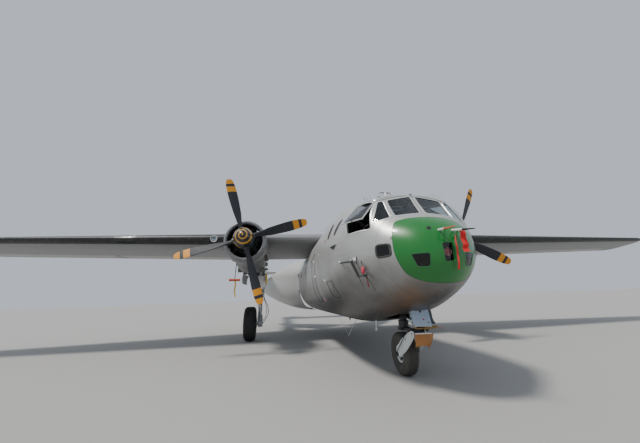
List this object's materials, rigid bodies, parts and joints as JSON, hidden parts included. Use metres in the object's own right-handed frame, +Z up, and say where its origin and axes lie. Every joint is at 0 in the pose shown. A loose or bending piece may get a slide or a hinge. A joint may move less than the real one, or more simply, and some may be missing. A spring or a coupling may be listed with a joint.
{
  "type": "military transport plane",
  "caption": "High-wing transport plane with tail booms, engine nacelles, propellers, wheels and a round load pod that opens at the rear with clamshell doors.",
  "frame": {"origin": "on the ground, under the middle of the overall length and span", "axes": "+Z up, nose towards -Y, port wing towards +X"},
  "size_m": [32.5, 21.96, 6],
  "materials": {
    "silver_skin": "satin silver-grey paint",
    "green_cap": "gloss mid green paint",
    "grey_skin": "satin grey paint",
    "floor": "worn dark grey",
    "panel": "matt dark grey",
    "seat_cloth": "woven olive cloth",
    "glazing": "clear",
    "engine": "dark cast metal",
    "blade": "satin charcoal paint with orange tip bands",
    "spinner": "satin black paint with a yellow spiral",
    "gear_steel": "satin light grey paint",
    "hub": "satin grey paint",
    "tyre": "worn rubber"
  },
  "bodies": {
    "airframe": {"nose_cap": "green_cap", "front_hull": "silver_skin", "main_pod": "silver_skin", "cargo_floor": "floor", "cockpit_floor": "floor", "cabin_wall": "panel", "instrument_panel": "panel", "seat_port": "seat_cloth", "seat_starboard": "seat_cloth", "windscreen": "glazing", "side_sash": "grey_skin", "wing_centre": "grey_skin", "wing_port": "grey_skin", "wing_starboard": "grey_skin", "nacelle_port": "grey_skin", "nacelle_starboard": "grey_skin", "cowl_port": "grey_skin", "cowl_starboard": "grey_skin", "engine_port": "engine", "engine_starboard": "engine", "boom_port": "silver_skin", "boom_starboard": "silver_skin", "fin_port": "grey_skin", "fin_starboard": "grey_skin", "tailplane": "grey_skin", "main_leg_port": "gear_steel", "main_leg_starboard": "gear_steel", "nose_leg": "gear_steel", "air_mast": "gear_steel"},
    "crew_door_leaf": {"crew_door": "silver_skin"},
    "door_leaf_port": {"door_port": "silver_skin"},
    "door_leaf_starboard": {"door_starboard": "silver_skin"},
    "flap_leaf_port": {"flap_port": "grey_skin"},
    "flap_leaf_starboard": {"flap_starboard": "grey_skin"},
    "aileron_leaf_port": {"aileron_port": "grey_skin"},
    "aileron_leaf_starboard": {"aileron_starboard": "grey_skin"},
    "rudder_leaf_port": {"rudder_port": "grey_skin"},
    "rudder_leaf_starboard": {"rudder_starboard": "grey_skin"},
    "elevator_leaf": {"elevator": "grey_skin"},
    "airscrew_port": {"propeller_port": "blade", "spinner_port": "spinner"},
    "airscrew_starboard": {"propeller_starboard": "blade", "spinner_starboard": "spinner"},
    "main_wheel_port": {"main_tyre_port": "tyre", "main_hub_port": "hub"},
    "main_wheel_starboard": {"main_tyre_starboard": "tyre", "main_hub_starboard": "hub"},
    "steering": {"nose_fork": "gear_steel"},
    "nose_wheel": {"nose_tyre": "tyre", "nose_hub": "hub"}
  },
  "joints": [
    {"name": "crew_door_hinge", "type": "hinge", "parent": "airframe", "child": "crew_door_leaf", "pos_m": [1.58, -7.276, 2.4], "axis": [0, 0, 1], "range_deg": [-100, 0]},
    {"name": "door_port_hinge", "type": "hinge", "parent": "airframe", "child": "door_leaf_port", "pos_m": [1.585, 0.235, 2.43], "axis": [0, 0, 1], "range_deg": [0, 48]},
    {"name": "door_starboard_hinge", "type": "hinge", "parent": "airframe", "child": "door_leaf_starboard", "pos_m": [-1.585, 0.235, 2.43], "axis": [0, 0, 1], "range_deg": [-48, 0]},
    {"name": "flap_port_hinge", "type": "hinge", "parent": "airframe", "child": "flap_leaf_port", "pos_m": [4.7, -1.2554, 3.79745], "axis": [0.994, -0.1093, 0.001], "range_deg": [-40, 0]},
    {"name": "flap_starboard_hinge", "type": "hinge", "parent": "airframe", "child": "flap_leaf_starboard", "pos_m": [-4.7, -1.2554, 3.79745], "axis": [0.994, 0.1093, -0.001], "range_deg": [-40, 0]},
    {"name": "aileron_port_hinge", "type": "hinge", "parent": "airframe", "child": "aileron_leaf_port", "pos_m": [9.78, -1.8142, 3.80232], "axis": [0.994, -0.1093, 0.001], "range_deg": [-20, 20]},
    {"name": "aileron_starboard_hinge", "type": "hinge", "parent": "airframe", "child": "aileron_leaf_starboard", "pos_m": [-9.78, -1.8142, 3.80232], "axis": [0.994, 0.1093, -0.001], "range_deg": [-20, 20]},
    {"name": "rudder_port_hinge", "type": "hinge", "parent": "airframe", "child": "rudder_leaf_port", "pos_m": [3.8, 10.01, 3.26], "axis": [0, 0, 1], "range_deg": [-25, 25]},
    {"name": "rudder_starboard_hinge", "type": "hinge", "parent": "airframe", "child": "rudder_leaf_starboard", "pos_m": [-3.8, 10.01, 3.26], "axis": [0, 0, 1], "range_deg": [-25, 25]},
    {"name": "elevator_hinge", "type": "hinge", "parent": "airframe", "child": "elevator_leaf", "pos_m": [0, 9.1224, 3.74], "axis": [1, 0, 0], "range_deg": [-20, 25]},
    {"name": "propeller_port_spin", "type": "hinge", "parent": "airframe", "child": "airscrew_port", "pos_m": [3.8, -6.08, 3.545], "axis": [0, 1, 0], "continuous": true},
    {"name": "propeller_starboard_spin", "type": "hinge", "parent": "airframe", "child": "airscrew_starboard", "pos_m": [-3.8, -6.08, 3.545], "axis": [0, 1, 0], "continuous": true},
    {"name": "main_wheel_port_spin", "type": "hinge", "parent": "airframe", "child": "main_wheel_port", "pos_m": [3.83, -2.53, 0.672], "axis": [1, 0, 0], "continuous": true},
    {"name": "main_wheel_starboard_spin", "type": "hinge", "parent": "airframe", "child": "main_wheel_starboard", "pos_m": [-3.83, -2.53, 0.672], "axis": [1, 0, 0], "continuous": true},
    {"name": "nose_steering", "type": "hinge", "parent": "airframe", "child": "steering", "pos_m": [0, -8.98, 1.13], "axis": [0, 0, 1], "range_deg": [-50, 50]},
    {"name": "nose_wheel_spin", "type": "hinge", "parent": "steering", "child": "nose_wheel", "pos_m": [0, -8.87, 0.425], "axis": [1, 0, 0], "continuous": true}
  ],
  "couplings": [
    {"joint": "rudder_starboard_hinge", "follows": "rudder_port_hinge", "ratio": 1},
    {"joint": "aileron_starboard_hinge", "follows": "aileron_port_hinge", "ratio": -1}
  ]
}
